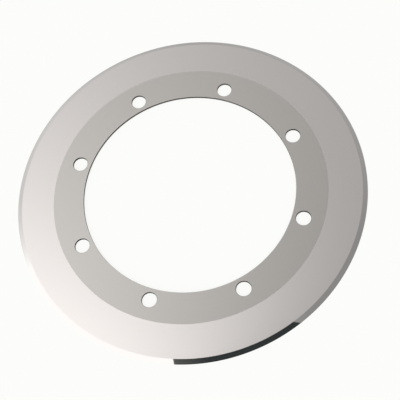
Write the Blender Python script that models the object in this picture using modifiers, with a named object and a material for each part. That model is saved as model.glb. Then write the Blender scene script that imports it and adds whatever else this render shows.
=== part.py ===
"""Circular slitter knife for sheet and board: a thin steel ring with a single ground bevel.

Metres, +Z up. The origin is the centre of the disc on its flat back face, which is the face
that lies on the table. The bevel is on the upper face, and one bolt hole lies on +X.
"""
import math

import bmesh
import bpy

# Driving sizes of the disc. The ring is measured radially, from the bore to the cutting edge,
# and leaves a bore of 158 mm.
OUTER_DIAMETER = 0.260
RING_WIDTH = 0.051
THICKNESS = 0.0018

# Hub land: the full-thickness band round the bore, where the flange clamps.
HUB_LAND_WIDTH = 0.023

# Bolt holes for the flange, and the web of steel between each hole and the bore. The bolt
# circle comes to 175 mm.
BOLT_HOLE_COUNT = 8
BOLT_HOLE_DIAMETER = 0.011
BOLT_HOLE_WEB = 0.003

# Relieved ring: ground below the hub land, and tapering thinner towards the bevel.
RELIEF_DEPTH = 0.00005
TAPER_DROP = 0.00005
WHEEL_CORNER_RADIUS = 0.0001
WHEEL_CORNER_STEPS = 3

# Cutting bevel on the upper face, running down to a hair-thin land at the back face.
BEVEL_WIDTH = 0.0035
EDGE_LAND = 0.00005

# Deburring chamfers.
BORE_CHAMFER = 0.0001
BOLT_HOLE_CHAMFER = 0.0001

# Facets of a full turn, and how far a cutter runs past both faces.
DISC_STEPS = 192
BOLT_HOLE_STEPS = 32
CUTTER_OVERRUN = 0.002

# Profile points closer than this are one point on the turning axis.
AXIS_MERGE = 0.00001
SHARP_EDGE_ANGLE = math.radians(12.0)

STEEL_COLOUR = (0.56, 0.55, 0.53, 1.0)
STEEL_ROUGHNESS = 0.28

# Radii and heights that follow from the sizes above.
OUTER_RADIUS = OUTER_DIAMETER / 2
BORE_RADIUS = OUTER_RADIUS - RING_WIDTH
HUB_LAND_RADIUS = BORE_RADIUS + HUB_LAND_WIDTH
BEVEL_START_RADIUS = OUTER_RADIUS - BEVEL_WIDTH
BOLT_HOLE_RADIUS = BOLT_HOLE_DIAMETER / 2
BOLT_CIRCLE_RADIUS = BORE_RADIUS + BOLT_HOLE_WEB + BOLT_HOLE_RADIUS
RELIEF_HEIGHT = THICKNESS - RELIEF_DEPTH
BEVEL_START_HEIGHT = RELIEF_HEIGHT - TAPER_DROP


def clear_scene():
    """Start from an empty file without closing the text that runs."""
    for old in list(bpy.data.objects):
        bpy.data.objects.remove(old, do_unlink=True)


def new_collection(name):
    collection = bpy.data.collections.new(name)
    bpy.context.scene.collection.children.link(collection)
    return collection


def steel_material():
    """Surface-ground tool steel, bright and slightly warm."""
    material = bpy.data.materials.new("ground_tool_steel")
    material.use_nodes = True
    shader = material.node_tree.nodes["Principled BSDF"]
    shader.inputs["Base Color"].default_value = STEEL_COLOUR
    shader.inputs["Metallic"].default_value = 1.0
    shader.inputs["Roughness"].default_value = STEEL_ROUGHNESS
    material.diffuse_color = STEEL_COLOUR
    return material


def wheel_corner():
    """The concave corner that the rim of the grinding wheel leaves beside the hub land.

    It starts on the hub land's edge and flattens out on the relieved ring.
    """
    centre_height = RELIEF_HEIGHT + WHEEL_CORNER_RADIUS
    reach = math.sqrt(WHEEL_CORNER_RADIUS**2 - (centre_height - THICKNESS) ** 2)
    centre_radius = HUB_LAND_RADIUS + reach
    start_angle = math.asin(reach / WHEEL_CORNER_RADIUS)
    points = []
    for step in range(WHEEL_CORNER_STEPS + 1):
        angle = start_angle * (1 - step / WHEEL_CORNER_STEPS)
        radius = centre_radius - WHEEL_CORNER_RADIUS * math.sin(angle)
        height = centre_height - WHEEL_CORNER_RADIUS * math.cos(angle)
        points.append((radius, height))
    return points


def knife_section():
    """Section of the ring as (radius, height), out along the top and back along the bottom."""
    section = [(BORE_RADIUS + BORE_CHAMFER, THICKNESS)]
    section += wheel_corner()
    section += [
        (BEVEL_START_RADIUS, BEVEL_START_HEIGHT),
        (OUTER_RADIUS, EDGE_LAND),
        (OUTER_RADIUS, 0.0),
        (BORE_RADIUS + BORE_CHAMFER, 0.0),
        (BORE_RADIUS, BORE_CHAMFER),
        (BORE_RADIUS, THICKNESS - BORE_CHAMFER),
    ]
    return section


def bolt_hole_section():
    """Section of one hole cutter: a drill with a deburring cone at each face."""
    flare = BOLT_HOLE_CHAMFER + CUTTER_OVERRUN
    top = THICKNESS + CUTTER_OVERRUN
    return [
        (0.0, top),
        (BOLT_HOLE_RADIUS + flare, top),
        (BOLT_HOLE_RADIUS, THICKNESS - BOLT_HOLE_CHAMFER),
        (BOLT_HOLE_RADIUS, BOLT_HOLE_CHAMFER),
        (BOLT_HOLE_RADIUS + flare, -CUTTER_OVERRUN),
        (0.0, -CUTTER_OVERRUN),
    ]


def section_mesh(name, section, closed):
    """Mesh of the section's edges alone, in the XZ plane at +X."""
    mesh = bpy.data.meshes.new(name)
    build = bmesh.new()
    corners = [build.verts.new((radius, 0.0, height)) for radius, height in section]
    for start, end in zip(corners, corners[1:]):
        build.edges.new((start, end))
    if closed:
        build.edges.new((corners[-1], corners[0]))
    build.to_mesh(mesh)
    build.free()
    return mesh


def turned_object(name, mesh, steps, collection):
    """Turn a section mesh once round Z."""
    turned = bpy.data.objects.new(name, mesh)
    collection.objects.link(turned)
    screw = turned.modifiers.new("turn", "SCREW")
    screw.axis = "Z"
    screw.angle = math.tau
    screw.steps = steps
    screw.render_steps = steps
    screw.use_merge_vertices = True
    screw.merge_threshold = AXIS_MERGE
    return turned


def add_bolt_hole_cutters(collection):
    """One cutter for each bolt hole, evenly spaced on the bolt circle, the first on +X."""
    drill = section_mesh("bolt_hole_section", bolt_hole_section(), closed=False)
    for index in range(BOLT_HOLE_COUNT):
        angle = math.tau * index / BOLT_HOLE_COUNT
        cutter = turned_object(f"bolt_hole_cutter_{index + 1}", drill, BOLT_HOLE_STEPS, collection)
        cutter.location.x = BOLT_CIRCLE_RADIUS * math.cos(angle)
        cutter.location.y = BOLT_CIRCLE_RADIUS * math.sin(angle)
        # Half a facet of turn keeps the drill's corners off the disc's own facet lines.
        cutter.rotation_euler.z = angle + math.pi / BOLT_HOLE_STEPS
        cutter.hide_render = True
        cutter.display_type = "WIRE"


def apply_modifiers(part):
    """Swap the section for the finished mesh, so that its shading can be set."""
    bpy.context.view_layer.update()
    graph = bpy.context.evaluated_depsgraph_get()
    finished = bpy.data.meshes.new_from_object(part.evaluated_get(graph))
    finished.name = part.name
    part.modifiers.clear()
    part.data = finished


def build_knife(parts, cutters):
    """The ring with its bolt holes, shaded smooth round the turn and crisp at each edge."""
    section = section_mesh("knife_section", knife_section(), closed=True)
    knife = turned_object("slitter_knife", section, DISC_STEPS, parts)
    drilling = knife.modifiers.new("bolt_holes", "BOOLEAN")
    drilling.operation = "DIFFERENCE"
    drilling.solver = "EXACT"
    drilling.operand_type = "COLLECTION"
    drilling.collection = cutters
    apply_modifiers(knife)
    knife.data.shade_smooth()
    knife.data.set_sharp_from_angle(angle=SHARP_EDGE_ANGLE)
    knife.data.materials.clear()
    knife.data.materials.append(steel_material())
    return knife


def main():
    clear_scene()
    parts = new_collection("circular_slitter_knife")
    cutters = new_collection("bolt_hole_cutters")
    add_bolt_hole_cutters(cutters)
    build_knife(parts, cutters)


main()
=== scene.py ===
"""Looks of the circular slitter knife: ground and lapped tool steel on a pale studio floor.

Metres, +Z up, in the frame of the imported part: the origin is the centre of the disc on its back
face, the bevel is on the upper face, and one bolt hole lies on +X.
"""

import math

import bmesh
import bpy
from mathutils import Matrix, Vector


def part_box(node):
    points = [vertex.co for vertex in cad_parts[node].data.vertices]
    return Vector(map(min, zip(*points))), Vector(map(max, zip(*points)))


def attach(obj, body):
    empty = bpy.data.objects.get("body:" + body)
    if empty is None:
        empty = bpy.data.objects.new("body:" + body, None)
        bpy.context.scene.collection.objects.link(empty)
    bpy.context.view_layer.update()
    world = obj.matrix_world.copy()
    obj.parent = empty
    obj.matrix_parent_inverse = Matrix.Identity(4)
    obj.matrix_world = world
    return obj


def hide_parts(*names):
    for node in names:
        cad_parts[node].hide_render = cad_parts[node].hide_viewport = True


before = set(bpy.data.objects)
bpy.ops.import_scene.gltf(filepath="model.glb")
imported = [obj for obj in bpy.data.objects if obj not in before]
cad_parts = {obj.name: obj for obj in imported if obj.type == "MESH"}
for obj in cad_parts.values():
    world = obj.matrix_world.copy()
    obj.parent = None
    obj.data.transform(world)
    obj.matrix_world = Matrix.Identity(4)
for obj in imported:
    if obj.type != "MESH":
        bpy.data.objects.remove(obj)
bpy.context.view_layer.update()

MM = 0.001

# Sizes of the disc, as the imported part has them. The overall ones are read from it.
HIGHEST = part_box("slitter_knife")[1]
OUTER_RADIUS = HIGHEST.x
THICKNESS = HIGHEST.z
RING_WIDTH = 51.0 * MM
HUB_LAND_WIDTH = 23.0 * MM
BOLT_HOLE_COUNT = 8
BOLT_HOLE_RADIUS = 5.5 * MM
BOLT_HOLE_WEB = 3.0 * MM
RELIEF_DEPTH = 0.05 * MM
TAPER_DROP = 0.05 * MM
WHEEL_CORNER_RADIUS = 0.1 * MM
BEVEL_WIDTH = 3.5 * MM
EDGE_LAND = 0.05 * MM
CHAMFER = 0.1 * MM

# Radii and heights that follow from the sizes above.
BORE_RADIUS = OUTER_RADIUS - RING_WIDTH
HUB_LAND_RADIUS = BORE_RADIUS + HUB_LAND_WIDTH
BOLT_CIRCLE_RADIUS = BORE_RADIUS + BOLT_HOLE_WEB + BOLT_HOLE_RADIUS
RELIEF_HEIGHT = THICKNESS - RELIEF_DEPTH
BEVEL_START_RADIUS = OUTER_RADIUS - BEVEL_WIDTH
BEVEL_START_HEIGHT = RELIEF_HEIGHT - TAPER_DROP

# What only a close look shows: the bore's broken chamfer corners and the faint crown of the bevel.
# The bolt holes' chamfers are 0.1 mm too, which doesn't show, so they are drawn twice as wide.
CORNER_RADIUS = 0.03 * MM
BEVEL_CROWN = 0.012 * MM
HOLE_CHAMFER = 0.2 * MM

# Heat scale on the walls, with painted shade that makes them black on the near, left side of the
# disc and paler towards the direction below. The two places are distances from the turning axis,
# along it.
SCALE_PATCH = 4.0 * MM
SCALE_PATCHINESS = 0.25
SHADE_FADES_TOWARDS = (0.6, 0.8, 0.0)
SHADE_FULL_UP_TO = 15.0 * MM
SHADE_FAINTEST_FROM = 75.0 * MM

# Steps of the turned mesh. A support loop keeps the shading of a corner off the flat beside it.
TURN_STEPS = 720
HOLE_STEPS = 96
CORNER_STEPS = 3
WHEEL_CORNER_STEPS = 6
CROWN_STEPS = 8
SUPPORT = 0.15 * MM
SHARP_ANGLE = math.radians(14.0)
DRILL_OVERRUN = 2.0 * MM
AXIS_MERGE = 0.001 * MM
# A flat face's normal has more than this share of Z, and a wall's or chamfer's has less. A wall or
# chamfer inside the second value belongs to the bore, and one outside it to a bolt hole.
FACES_UP = 0.85
BORE_EDGE_RADIUS = BORE_RADIUS + 2 * CHAMFER

# The camera of the photograph, worked out from the bore, the rim and the eight bolt holes.
# Its roll turns the picture about the line of sight.
CAMERA_TARGET = Vector((3.892, -11.391, 1.8)) * MM
CAMERA_DISTANCE = 691.84 * MM
CAMERA_AZIMUTH = math.radians(-8.989)
CAMERA_ELEVATION = math.radians(64.303)
CAMERA_ROLL = math.radians(-19.535)
CAMERA_LENS = 85.24
SENSOR_WIDTH = 36.0
CAMERA_NEAREST = 0.01

# The studio. Directions are shares of a unit vector: X to the right, Y away, Z up.
BACKDROP_COLOUR = "#FDFEFB"
FLOOR_RADIUS = 6.0
FLOOR_SIDES = 128
FLOOR_GAP = 0.02 * MM
FLOOR_COLOUR = "#E8E8E6"
FLOOR_GLOW = 0.88
FLOOR_SHADOW_CATCHER = (0.14, 0.14, 0.14, 1.0)
SOFTBOX = 1.70
BRIGHTEST = 1.45
SIDE_WALL_COLOUR = "#DADAD8"
UNLIT_COLOUR = "#666665"

# The black card hangs level just past the near edge of the knife. Only reflections see it, and the
# slant of its two ends shows in the bevel.
CARD_HEIGHT = 60.0 * MM
CARD_CORNERS = ((-94.0, -128.0), (-116.0, -168.0), (58.0, -186.5), (25.5, -154.5))
CARD_COLOUR = "#393E3F"
CARD_END_COLOUR = "#5F6360"
CARD_PALE_TO = -100.0 * MM
CARD_PALE_FROM = -66.0 * MM


def linear(hex_colour):
    """An sRGB hex colour as linear RGBA."""
    channels = []
    for start in (1, 3, 5):
        value = int(hex_colour[start:start + 2], 16) / 255
        if value <= 0.04045:
            channels.append(value / 12.92)
        else:
            channels.append(((value + 0.055) / 1.055) ** 2.4)
    return (*channels, 1.0)


def add_node(tree, kind, links=None, values=None, **settings):
    """Add one node: its settings, its own input values, and the sockets that feed its inputs."""
    node = tree.nodes.new(kind)
    for name, value in settings.items():
        setattr(node, name, value)
    for socket, value in (values or {}).items():
        node.inputs[socket].default_value = value
    for socket, source in (links or {}).items():
        tree.links.new(source, node.inputs[socket])
    return node


def new_material(name):
    """An empty material with its shader and output, and that shader."""
    material = bpy.data.materials.new(name)
    material.use_nodes = True
    tree = material.node_tree
    tree.nodes.clear()
    shader = add_node(tree, "ShaderNodeBsdfPrincipled")
    add_node(tree, "ShaderNodeOutputMaterial", {"Surface": shader.outputs["BSDF"]})
    return material, tree, shader


def turning_marks(tree, spacing, wander):
    """Value from 0 to 1 that changes only with the radius, apart from a slow wander round the turn.

    spacing is the distance between marks. The marks read the object's own coordinates, and their
    radius is measured from the turning axis.
    """
    place = add_node(tree, "ShaderNodeTexCoord")
    flat = add_node(tree, "ShaderNodeVectorMath", {0: place.outputs["Object"]},
                    {1: (1.0, 1.0, 0.0)}, operation="MULTIPLY")
    radius = add_node(tree, "ShaderNodeVectorMath", {0: flat.outputs["Vector"]}, operation="LENGTH")
    across = add_node(tree, "ShaderNodeMath", {0: radius.outputs["Value"]}, {1: 1.0 / spacing},
                      operation="MULTIPLY")
    around = add_node(tree, "ShaderNodeVectorMath", {0: flat.outputs["Vector"]},
                      operation="NORMALIZE")
    drift = add_node(tree, "ShaderNodeVectorMath", {0: around.outputs["Vector"]},
                     {"Scale": wander}, operation="SCALE")
    split = add_node(tree, "ShaderNodeSeparateXYZ", {"Vector": drift.outputs["Vector"]})
    lookup = add_node(tree, "ShaderNodeCombineXYZ", {
        "X": across.outputs["Value"],
        "Y": split.outputs["X"],
        "Z": split.outputs["Y"],
    })
    return add_node(tree, "ShaderNodeTexNoise", {"Vector": lookup.outputs["Vector"]},
                    {"Scale": 1.0, "Detail": 2.0, "Roughness": 0.6}).outputs["Fac"]


def ground_steel(name, colours, roughness, mark_spacing, mark_wander, mark_depth):
    """Tool steel as one grinding or lapping pass leaves it.

    colours and roughness are each a low and a high value, which the marks blend between. Real marks
    are under 0.1 mm apart, too fine to show, so they are drawn as coarse as they need to show.
    """
    material, tree, shader = new_material(name)
    marks = turning_marks(tree, mark_spacing, mark_wander)
    tint = add_node(tree, "ShaderNodeMix", {"Factor": marks}, data_type="RGBA")
    tint.inputs[6].default_value = linear(colours[0])
    tint.inputs[7].default_value = linear(colours[1])
    rough = add_node(tree, "ShaderNodeMapRange", {"Value": marks},
                     {"To Min": roughness[0], "To Max": roughness[1]})
    relief = add_node(tree, "ShaderNodeBump", {"Height": marks},
                      {"Strength": 1.0, "Distance": mark_depth})
    tree.links.new(tint.outputs[2], shader.inputs["Base Color"])
    tree.links.new(rough.outputs["Result"], shader.inputs["Roughness"])
    tree.links.new(relief.outputs["Normal"], shader.inputs["Normal"])
    shader.inputs["Metallic"].default_value = 1.0
    return material


def surface_ground_steel():
    """Hub land and back face: coarser wheel, so the reflection is soft and a little darker."""
    return ground_steel("surface_ground_tool_steel", ("#CDC9C5", "#D1CDC8"),
                        roughness=(0.28, 0.32), mark_spacing=1.1 * MM, mark_wander=0.8,
                        mark_depth=0.0008 * MM)


def face_ground_steel():
    """Relieved ring: fine wheel on a turning table, a bright satin with faint rings."""
    return ground_steel("face_ground_tool_steel", ("#DFDAD7", "#E3DEDB"),
                        roughness=(0.13, 0.17), mark_spacing=0.9 * MM, mark_wander=0.5,
                        mark_depth=0.0004 * MM)


def lapped_steel():
    """Cutting bevel: lapped nearly to a mirror, so the room shows in it with crisp ends."""
    return ground_steel("lapped_tool_steel", ("#D8D5D3", "#DAD7D5"),
                        roughness=(0.04, 0.06), mark_spacing=0.5 * MM, mark_wander=0.5,
                        mark_depth=0.0)


def scale_and_painted_shade_steel(name, colours, metallic, roughness, specular):
    """Tool steel under the oxide that hardening leaves, a little patchy, with painted shade over it.

    colours are the wall's colour at its darkest, with the thickest scale under the full painted
    shade, and at its palest, with the thinnest scale where that shade has faded.
    """
    material, tree, shader = new_material(name)
    place = add_node(tree, "ShaderNodeTexCoord")
    patches = add_node(tree, "ShaderNodeTexNoise", {"Vector": place.outputs["Object"]},
                       {"Scale": 1.0 / SCALE_PATCH, "Detail": 3.0})
    # Painted shade: darker walls on the near, left side of the disc, fading out along the direction
    # set at the top.
    towards = add_node(tree, "ShaderNodeVectorMath", {0: place.outputs["Object"]},
                       {1: SHADE_FADES_TOWARDS}, operation="DOT_PRODUCT")
    painted_shade_fade = add_node(tree, "ShaderNodeMapRange", {"Value": towards.outputs["Value"]}, {
        "From Min": SHADE_FULL_UP_TO,
        "From Max": SHADE_FAINTEST_FROM,
        "To Min": -SCALE_PATCHINESS / 2,
        "To Max": 1.0 - SCALE_PATCHINESS / 2,
    })
    # How pale the wall is drawn: the scale's patches, plus the painted shade grade.
    pale = add_node(tree, "ShaderNodeMath", {
        0: patches.outputs["Fac"],
        2: painted_shade_fade.outputs["Result"],
    }, {1: SCALE_PATCHINESS}, operation="MULTIPLY_ADD", use_clamp=True)
    tint = add_node(tree, "ShaderNodeMix", {"Factor": pale.outputs["Value"]}, data_type="RGBA")
    tint.inputs[6].default_value = linear(colours[0])
    tint.inputs[7].default_value = linear(colours[1])
    tree.links.new(tint.outputs[2], shader.inputs["Base Color"])
    shader.inputs["Metallic"].default_value = metallic
    shader.inputs["Roughness"].default_value = roughness
    shader.inputs["Specular IOR Level"].default_value = specular
    return material


def rubbed_scale_and_painted_shade():
    """Bore wall: its scale is rubbed by the flange's spigot, so a dull sheen is left on it. Painted
    shade darkens it on the near, left side.
    """
    return scale_and_painted_shade_steel("rubbed_heat_scale_and_painted_shade", ("#1A1918", "#484542"),
                        metallic=0.6, roughness=0.6, specular=0.5)


def heat_scale_and_painted_shade():
    """Bolt holes, drilled and chamfered before hardening: matt scale that takes all light, with
    painted shade that darkens the holes on the near, left side.
    """
    return scale_and_painted_shade_steel("matt_heat_scale_and_painted_shade", ("#080808", "#4E4C4A"),
                        metallic=0.0, roughness=0.9, specular=0.1)


def arc(centre, radius, start, end, steps):
    """Points on an arc in the section plane, angles in degrees from +radius towards +height."""
    points = []
    for step in range(steps + 1):
        angle = math.radians(start + (end - start) * step / steps)
        points.append((centre[0] + radius * math.cos(angle), centre[1] + radius * math.sin(angle)))
    return points


def rounded(corner, before, after, radius=CORNER_RADIUS, steps=CORNER_STEPS):
    """The corner between two neighbours, broken by a small arc that is tangent to both sides."""
    point = Vector(corner)
    side_in = (Vector(before) - point).normalized()
    side_out = (Vector(after) - point).normalized()
    half = side_in.angle(side_out) / 2
    reach = radius / math.tan(half)
    centre = point + (side_in + side_out).normalized() * (radius / math.sin(half))
    start = point + side_in * reach - centre
    end = point + side_out * reach - centre
    turn = start.angle_signed(end)
    points = []
    for step in range(steps + 1):
        angle = -turn * step / steps
        spoke = Vector((start.x * math.cos(angle) - start.y * math.sin(angle),
                        start.x * math.sin(angle) + start.y * math.cos(angle)))
        points.append(tuple(centre + spoke))
    return points


def wheel_corner():
    """Concave corner that the wheel's rim leaves beside the hub land, out to the relieved ring."""
    centre_height = RELIEF_HEIGHT + WHEEL_CORNER_RADIUS
    reach = math.sqrt(WHEEL_CORNER_RADIUS ** 2 - (centre_height - THICKNESS) ** 2)
    start = 270.0 - math.degrees(math.asin(reach / WHEEL_CORNER_RADIUS))
    centre = (HUB_LAND_RADIUS + reach, centre_height)
    return arc(centre, WHEEL_CORNER_RADIUS, start, 270.0, WHEEL_CORNER_STEPS)


def bevel_line():
    """The bevel from the ring down to the edge land, with a crown of a few micrometres."""
    start = Vector((BEVEL_START_RADIUS, BEVEL_START_HEIGHT))
    run = Vector((OUTER_RADIUS, EDGE_LAND)) - start
    outward = Vector((-run.y, run.x)).normalized()
    points = []
    for step in range(CROWN_STEPS + 1):
        share = step / CROWN_STEPS
        points.append(tuple(start + run * share + outward * BEVEL_CROWN * 4 * share * (1 - share)))
    return points


def knife_section():
    """Section of the knife as (radius, height), out along the top and back along the bottom."""
    chamfer_edge = BORE_RADIUS + CHAMFER
    upper_wall = (BORE_RADIUS, THICKNESS - CHAMFER)
    upper_edge = (chamfer_edge, THICKNESS)
    lower_edge = (chamfer_edge, 0.0)
    lower_wall = (BORE_RADIUS, CHAMFER)
    corner = wheel_corner()
    ring_start = corner[-1]
    slope = (BEVEL_START_HEIGHT - RELIEF_HEIGHT) / (BEVEL_START_RADIUS - ring_start[0])
    section = rounded(upper_wall, lower_wall, upper_edge)
    section += rounded(upper_edge, upper_wall, corner[0])
    section.append((chamfer_edge + SUPPORT, THICKNESS))
    section.append((HUB_LAND_RADIUS - SUPPORT, THICKNESS))
    section += corner
    section.append((ring_start[0] + SUPPORT, RELIEF_HEIGHT + slope * SUPPORT))
    section.append((BEVEL_START_RADIUS - SUPPORT, BEVEL_START_HEIGHT - slope * SUPPORT))
    section += bevel_line()
    section.append((OUTER_RADIUS, 0.0))
    section.append((OUTER_RADIUS - SUPPORT, 0.0))
    section.append((chamfer_edge + SUPPORT, 0.0))
    section += rounded(lower_edge, (OUTER_RADIUS, 0.0), lower_wall)
    section += rounded(lower_wall, lower_edge, upper_wall)
    return section


def drill_section():
    """Half section of the drill as (radius, height): a straight shank and two countersinks."""
    flare = HOLE_CHAMFER + DRILL_OVERRUN
    top = THICKNESS + DRILL_OVERRUN
    return [
        (0.0, top),
        (BOLT_HOLE_RADIUS + flare, top),
        (BOLT_HOLE_RADIUS, THICKNESS - HOLE_CHAMFER),
        (BOLT_HOLE_RADIUS, HOLE_CHAMFER),
        (BOLT_HOLE_RADIUS + flare, -DRILL_OVERRUN),
        (0.0, -DRILL_OVERRUN),
    ]


def section_object(name, section, turn_radius, closed):
    """A section's outline, laid down in XY so that the sweep stands it up.

    The sweep carries it round a circle of turn_radius, with X outwards and Y downwards.
    """
    mesh = bpy.data.meshes.new(name)
    build = bmesh.new()
    corners = [build.verts.new((radius - turn_radius, -height, 0.0)) for radius, height in section]
    for start, end in zip(corners, corners[1:]):
        build.edges.new((start, end))
    if closed:
        build.edges.new((corners[-1], corners[0]))
    build.to_mesh(mesh)
    build.free()
    section_holder = bpy.data.objects.new(name, mesh)
    bpy.context.scene.collection.objects.link(section_holder)
    return section_holder


def new_tree(name, inputs, output):
    """An empty geometry tree with named inputs, its input sockets by name, and its output node."""
    tree = bpy.data.node_groups.new(name, "GeometryNodeTree")
    for socket, kind in inputs:
        tree.interface.new_socket(socket, in_out="INPUT", socket_type=kind)
    tree.interface.new_socket(output, in_out="OUTPUT", socket_type="NodeSocketGeometry")
    return tree, tree.nodes.new("NodeGroupInput").outputs, tree.nodes.new("NodeGroupOutput")


def turning_tree():
    """Turn a section once round the axis."""
    tree, given, result = new_tree("turn_round_axis", [
        ("Section", "NodeSocketGeometry"),
        ("Turn Radius", "NodeSocketFloat"),
        ("Turn Steps", "NodeSocketInt"),
    ], "Turned")
    outline = add_node(tree, "GeometryNodeMeshToCurve", {"Mesh": given["Section"]})
    circle = add_node(tree, "GeometryNodeCurvePrimitiveCircle", {
        "Resolution": given["Turn Steps"],
        "Radius": given["Turn Radius"],
    })
    swept = add_node(tree, "GeometryNodeCurveToMesh", {
        "Curve": circle.outputs["Curve"],
        "Profile Curve": outline.outputs["Curve"],
    })
    merged = add_node(tree, "GeometryNodeMergeByDistance", {"Geometry": swept.outputs["Mesh"]},
                      {"Distance": AXIS_MERGE})
    tree.links.new(merged.outputs["Geometry"], result.inputs["Turned"])
    return tree


def knife_tree():
    """Turn the knife, drill its bolt circle, break the shading at its edges and set its finishes."""
    tree, given, result = new_tree("turned_and_drilled_knife", [
        ("Knife Section", "NodeSocketGeometry"),
        ("Drill Section", "NodeSocketObject"),
        ("Turn Radius", "NodeSocketFloat"),
        ("Turn Steps", "NodeSocketInt"),
        ("Hub Land Radius", "NodeSocketFloat"),
        ("Bevel Start Radius", "NodeSocketFloat"),
        ("Bolt Circle Radius", "NodeSocketFloat"),
        ("Bolt Hole Count", "NodeSocketInt"),
        ("Bolt Hole Radius", "NodeSocketFloat"),
        ("Bolt Hole Steps", "NodeSocketInt"),
        ("Sharp Angle", "NodeSocketFloat"),
        ("Hub Finish", "NodeSocketMaterial"),
        ("Ring Finish", "NodeSocketMaterial"),
        ("Bevel Finish", "NodeSocketMaterial"),
        ("Bore Edge Radius", "NodeSocketFloat"),
        ("Bore Finish", "NodeSocketMaterial"),
        ("Bolt Hole Finish", "NodeSocketMaterial"),
    ], "Knife")
    turning = turning_tree()
    disc = add_node(tree, "GeometryNodeGroup", node_tree=turning)
    tree.links.new(given["Knife Section"], disc.inputs["Section"])
    tree.links.new(given["Turn Radius"], disc.inputs["Turn Radius"])
    tree.links.new(given["Turn Steps"], disc.inputs["Turn Steps"])
    held = add_node(tree, "GeometryNodeObjectInfo", {"Object": given["Drill Section"]})
    drill = add_node(tree, "GeometryNodeGroup", node_tree=turning)
    tree.links.new(held.outputs["Geometry"], drill.inputs["Section"])
    tree.links.new(given["Bolt Hole Radius"], drill.inputs["Turn Radius"])
    tree.links.new(given["Bolt Hole Steps"], drill.inputs["Turn Steps"])
    bolt_circle = add_node(tree, "GeometryNodeMeshCircle", {
        "Vertices": given["Bolt Hole Count"],
        "Radius": given["Bolt Circle Radius"],
    })
    drills = add_node(tree, "GeometryNodeInstanceOnPoints", {
        "Points": bolt_circle.outputs["Mesh"],
        "Instance": drill.outputs["Turned"],
    })
    drilled = add_node(tree, "GeometryNodeMeshBoolean", {
        "Mesh 1": disc.outputs["Turned"],
        "Mesh 2": drills.outputs["Instances"],
    }, operation="DIFFERENCE", solver="EXACT")
    smooth = add_node(tree, "GeometryNodeSetShadeSmooth", {"Geometry": drilled.outputs["Mesh"]},
                      {"Shade Smooth": True}, domain="FACE")
    fold = add_node(tree, "GeometryNodeInputMeshEdgeAngle")
    sharp = add_node(tree, "FunctionNodeCompare", {
        "A": fold.outputs["Unsigned Angle"],
        "B": given["Sharp Angle"],
    }, operation="GREATER_THAN")
    crisp = add_node(tree, "GeometryNodeSetShadeSmooth", {
        "Geometry": smooth.outputs["Geometry"],
        "Selection": sharp.outputs["Result"],
    }, {"Shade Smooth": False}, domain="EDGE")

    place = add_node(tree, "GeometryNodeInputPosition")
    flat = add_node(tree, "ShaderNodeVectorMath", {0: place.outputs["Position"]},
                    {1: (1.0, 1.0, 0.0)}, operation="MULTIPLY")
    radius = add_node(tree, "ShaderNodeVectorMath", {0: flat.outputs["Vector"]}, operation="LENGTH")
    normal = add_node(tree, "GeometryNodeInputNormal")
    facing = add_node(tree, "ShaderNodeSeparateXYZ", {"Vector": normal.outputs["Normal"]})
    up = add_node(tree, "FunctionNodeCompare", {"A": facing.outputs["Z"]}, {"B": FACES_UP},
                  operation="GREATER_THAN")
    steep = add_node(tree, "ShaderNodeMath", {0: facing.outputs["Z"]}, operation="ABSOLUTE")
    wall = add_node(tree, "FunctionNodeCompare", {"A": steep.outputs["Value"]}, {"B": FACES_UP},
                    operation="LESS_THAN")
    inside = add_node(tree, "FunctionNodeCompare", {
        "A": radius.outputs["Value"],
        "B": given["Hub Land Radius"],
    }, operation="LESS_THAN")
    ring = add_node(tree, "FunctionNodeCompare", {
        "A": radius.outputs["Value"],
        "B": given["Hub Land Radius"],
    }, operation="GREATER_THAN")
    bevel = add_node(tree, "FunctionNodeCompare", {
        "A": radius.outputs["Value"],
        "B": given["Bevel Start Radius"],
    }, operation="GREATER_THAN")
    bore = add_node(tree, "FunctionNodeCompare", {
        "A": radius.outputs["Value"],
        "B": given["Bore Edge Radius"],
    }, operation="LESS_THAN")

    made = add_node(tree, "GeometryNodeRealizeInstances", {"Geometry": crisp.outputs["Geometry"]})
    finished = add_node(tree, "GeometryNodeSetMaterial", {
        "Geometry": made.outputs["Geometry"],
        "Material": given["Hub Finish"],
    })
    for finish, first, second in (
        ("Ring Finish", ring, up),
        ("Bevel Finish", bevel, up),
        ("Bolt Hole Finish", inside, wall),
        ("Bore Finish", bore, wall),
    ):
        both = add_node(tree, "FunctionNodeBooleanMath",
                        {0: first.outputs["Result"], 1: second.outputs["Result"]}, operation="AND")
        finished = add_node(tree, "GeometryNodeSetMaterial", {
            "Geometry": finished.outputs["Geometry"],
            "Selection": both.outputs["Boolean"],
            "Material": given[finish],
        })
    tree.links.new(finished.outputs["Geometry"], result.inputs["Knife"])
    return tree


def apply_tree(holder, tree, values):
    """Run the tree on the holder with the named values, and keep the result as a plain mesh."""
    modifier = holder.modifiers.new(tree.name, "NODES")
    modifier.node_group = tree
    identifiers = {item.name: item.identifier for item in tree.interface.items_tree
                   if item.in_out == "INPUT"}
    for name, value in values.items():
        modifier[identifiers[name]] = value
    bpy.context.view_layer.update()
    graph = bpy.context.evaluated_depsgraph_get()
    mesh = bpy.data.meshes.new_from_object(holder.evaluated_get(graph))
    holder.modifiers.remove(modifier)
    holder.data = mesh
    return holder


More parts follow.
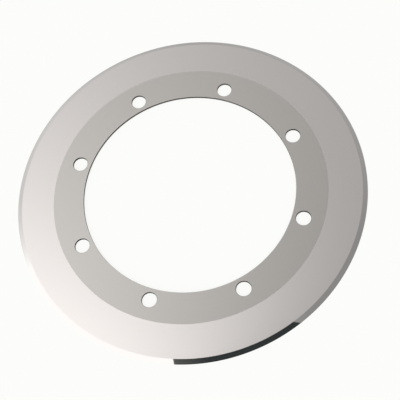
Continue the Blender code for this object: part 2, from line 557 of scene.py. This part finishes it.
def build_knife():
    """The whole knife as one plain mesh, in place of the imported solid."""
    knife = section_object("ground_knife", knife_section(), OUTER_RADIUS, closed=True)
    drill = section_object("drill", drill_section(), BOLT_HOLE_RADIUS, closed=False)
    apply_tree(knife, knife_tree(), {
        "Drill Section": drill,
        "Turn Radius": OUTER_RADIUS,
        "Turn Steps": TURN_STEPS,
        "Hub Land Radius": HUB_LAND_RADIUS,
        "Bevel Start Radius": BEVEL_START_RADIUS,
        "Bolt Circle Radius": BOLT_CIRCLE_RADIUS,
        "Bolt Hole Count": BOLT_HOLE_COUNT,
        "Bolt Hole Radius": BOLT_HOLE_RADIUS,
        "Bolt Hole Steps": HOLE_STEPS,
        "Sharp Angle": SHARP_ANGLE,
        "Hub Finish": surface_ground_steel(),
        "Ring Finish": face_ground_steel(),
        "Bevel Finish": lapped_steel(),
        "Bore Edge Radius": BORE_EDGE_RADIUS,
        "Bore Finish": rubbed_scale_and_painted_shade(),
        "Bolt Hole Finish": heat_scale_and_painted_shade(),
    })
    bpy.data.objects.remove(drill)
    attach(knife, "root")
    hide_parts("slitter_knife")


def shown_rays(tree):
    """1 for rays that see a surface as the eye does: camera, glossy and transmission rays."""
    path = add_node(tree, "ShaderNodeLightPath")
    glossy = add_node(tree, "ShaderNodeMath", {
        0: path.outputs["Is Camera Ray"],
        1: path.outputs["Is Glossy Ray"],
    }, operation="ADD")
    return add_node(tree, "ShaderNodeMath", {
        0: glossy.outputs["Value"],
        1: path.outputs["Is Transmission Ray"],
    }, operation="ADD", use_clamp=True).outputs["Value"]


def build_floor():
    """A pale floor that nearly glows by itself, so that only a faint contact shadow darkens it."""
    build = bmesh.new()
    bmesh.ops.create_circle(build, cap_ends=True, segments=FLOOR_SIDES,
                            radius=FLOOR_RADIUS)
    mesh = bpy.data.meshes.new("studio_floor")
    build.to_mesh(mesh)
    build.free()
    floor = bpy.data.objects.new("studio_floor", mesh)
    floor.location.z = -FLOOR_GAP
    bpy.context.scene.collection.objects.link(floor)

    material = bpy.data.materials.new("matt_white_paper")
    material.use_nodes = True
    tree = material.node_tree
    tree.nodes.clear()
    glow = add_node(tree, "ShaderNodeEmission",
                    values={"Color": linear(BACKDROP_COLOUR), "Strength": FLOOR_GLOW})
    paper = add_node(tree, "ShaderNodeBsdfDiffuse", values={"Color": FLOOR_SHADOW_CATCHER})
    seen = add_node(tree, "ShaderNodeAddShader",
                    {0: glow.outputs["Emission"], 1: paper.outputs["BSDF"]})
    plain = add_node(tree, "ShaderNodeBsdfDiffuse", values={"Color": linear(FLOOR_COLOUR)})
    mixed = add_node(tree, "ShaderNodeMixShader", {
        0: shown_rays(tree),
        1: plain.outputs["BSDF"],
        2: seen.outputs["Shader"],
    })
    add_node(tree, "ShaderNodeOutputMaterial", {"Surface": mixed.outputs["Shader"]})
    mesh.materials.append(material)


def build_card():
    """A black card for the bevel to mirror, a little paler at its left end."""
    build = bmesh.new()
    corners = [build.verts.new((x * MM, y * MM, CARD_HEIGHT)) for x, y in CARD_CORNERS]
    build.faces.new(corners)
    mesh = bpy.data.meshes.new("black_card")
    build.to_mesh(mesh)
    build.free()
    card = bpy.data.objects.new("black_card", mesh)
    bpy.context.scene.collection.objects.link(card)
    card.visible_camera = False
    card.visible_diffuse = False
    card.visible_transmission = False
    card.visible_shadow = False

    material = bpy.data.materials.new("matt_black_card")
    material.use_nodes = True
    tree = material.node_tree
    tree.nodes.clear()
    place = add_node(tree, "ShaderNodeTexCoord")
    split = add_node(tree, "ShaderNodeSeparateXYZ", {"Vector": place.outputs["Object"]})
    pale = add_node(tree, "ShaderNodeMapRange", {"Value": split.outputs["X"]}, {
        "From Min": CARD_PALE_TO,
        "From Max": CARD_PALE_FROM,
        "To Min": 1.0,
        "To Max": 0.0,
    })
    colour = add_node(tree, "ShaderNodeMix", {"Factor": pale.outputs["Result"]},
                      {6: linear(CARD_COLOUR), 7: linear(CARD_END_COLOUR)}, data_type="RGBA")
    glow = add_node(tree, "ShaderNodeEmission", {"Color": colour.outputs[2]})
    add_node(tree, "ShaderNodeOutputMaterial", {"Surface": glow.outputs["Emission"]})
    mesh.materials.append(material)


def build_world():
    """The studio that the steel reflects, by direction: a grey room with one softbox on the left.

    X and Y are the parts of the direction that run right and away. The room is unlit just away
    from overhead, and a plain wall ends the softbox low on the left.
    """
    world = bpy.data.worlds.new("studio")
    bpy.context.scene.world = world
    world.use_nodes = True
    tree = world.node_tree
    tree.nodes.clear()
    place = add_node(tree, "ShaderNodeTexCoord")
    way = add_node(tree, "ShaderNodeSeparateXYZ", {"Vector": place.outputs["Generated"]}).outputs

    # Each grade follows one part of the direction from one level to another, and is level beyond.
    grades = {}
    for name, along, first, last, at_first, at_last, blend in (
        ("room", "X", -0.285, 0.315, 0.833, 0.547, "LINEAR"),
        ("near shade", "Y", -0.22, 0.683, 0.187, 0.0, "LINEAR"),
        ("softbox across", "X", -0.32, 0.214, SOFTBOX, 0.0, "SMOOTHSTEP"),
        ("softbox away", "Y", -0.005, 0.807, 1.0, 0.0, "SMOOTHSTEP"),
        ("side wall", "X", -0.92, -0.80, 1.0, 0.0, "SMOOTHSTEP"),
        ("unlit left", "X", -0.63, -0.52, 0.0, 1.0, "SMOOTHSTEP"),
        ("unlit right", "X", 0.725, 0.77, 1.0, 0.0, "SMOOTHSTEP"),
        ("unlit near", "Y", -0.15, 0.04, 0.0, 1.0, "SMOOTHSTEP"),
        ("unlit far", "Y", 0.237, 0.257, 1.0, 0.0, "SMOOTHSTEP"),
    ):
        grades[name] = add_node(tree, "ShaderNodeMapRange", {"Value": way[along]}, {
            "From Min": first, "From Max": last, "To Min": at_first, "To Max": at_last,
        }, interpolation_type=blend, clamp=True).outputs["Result"]

    # What has several sides is the product of their grades.
    for shape, first, *others in (
        ("softbox", "softbox across", "softbox away"),
        ("unlit", "unlit left", "unlit right", "unlit near", "unlit far"),
    ):
        grades[shape] = grades[first]
        for other in others:
            grades[shape] = add_node(tree, "ShaderNodeMath", {
                0: grades[shape],
                1: grades[other],
            }, operation="MULTIPLY").outputs["Value"]

    shaded = add_node(tree, "ShaderNodeMath", {0: grades["room"], 1: grades["near shade"]},
                      operation="SUBTRACT")
    lit = add_node(tree, "ShaderNodeMath", {0: shaded.outputs["Value"], 1: grades["softbox"]},
                   operation="ADD")
    light = add_node(tree, "ShaderNodeMath", {0: lit.outputs["Value"]}, {1: BRIGHTEST},
                     operation="MINIMUM")
    seen = add_node(tree, "ShaderNodeCombineColor", {
        "Red": light.outputs["Value"],
        "Green": light.outputs["Value"],
        "Blue": light.outputs["Value"],
    }).outputs["Color"]
    path = add_node(tree, "ShaderNodeLightPath")
    for share, colour in (
        (grades["unlit"], UNLIT_COLOUR),
        (grades["side wall"], SIDE_WALL_COLOUR),
        (path.outputs["Is Camera Ray"], BACKDROP_COLOUR),
    ):
        seen = add_node(tree, "ShaderNodeMix", {0: share, 6: seen}, {7: linear(colour)},
                        data_type="RGBA").outputs[2]
    background = add_node(tree, "ShaderNodeBackground", {"Color": seen}, {"Strength": 1.0})
    add_node(tree, "ShaderNodeOutputWorld", {"Surface": background.outputs["Background"]})


def build_camera():
    """The photograph's camera, aimed at a point on the disc and rolled about its line of sight."""
    back = Vector((
        math.sin(CAMERA_AZIMUTH) * math.cos(CAMERA_ELEVATION),
        -math.cos(CAMERA_AZIMUTH) * math.cos(CAMERA_ELEVATION),
        math.sin(CAMERA_ELEVATION),
    ))
    level_right = Vector((0.0, 0.0, 1.0)).cross(back).normalized()
    level_up = back.cross(level_right)
    right = level_right * math.cos(CAMERA_ROLL) + level_up * math.sin(CAMERA_ROLL)
    up = back.cross(right)
    data = bpy.data.cameras.new("photo_camera")
    data.lens = CAMERA_LENS
    data.sensor_width = SENSOR_WIDTH
    data.clip_start = CAMERA_NEAREST
    data.clip_end = 4 * FLOOR_RADIUS
    camera = bpy.data.objects.new("photo_camera", data)
    bpy.context.scene.collection.objects.link(camera)
    turn = Matrix((right, up, back)).transposed().to_4x4()
    camera.matrix_world = Matrix.Translation(CAMERA_TARGET + back * CAMERA_DISTANCE) @ turn
    bpy.context.scene.camera = camera


build_camera()
build_knife()
build_floor()
build_card()
build_world()
bpy.context.scene.view_settings.view_transform = "Standard"
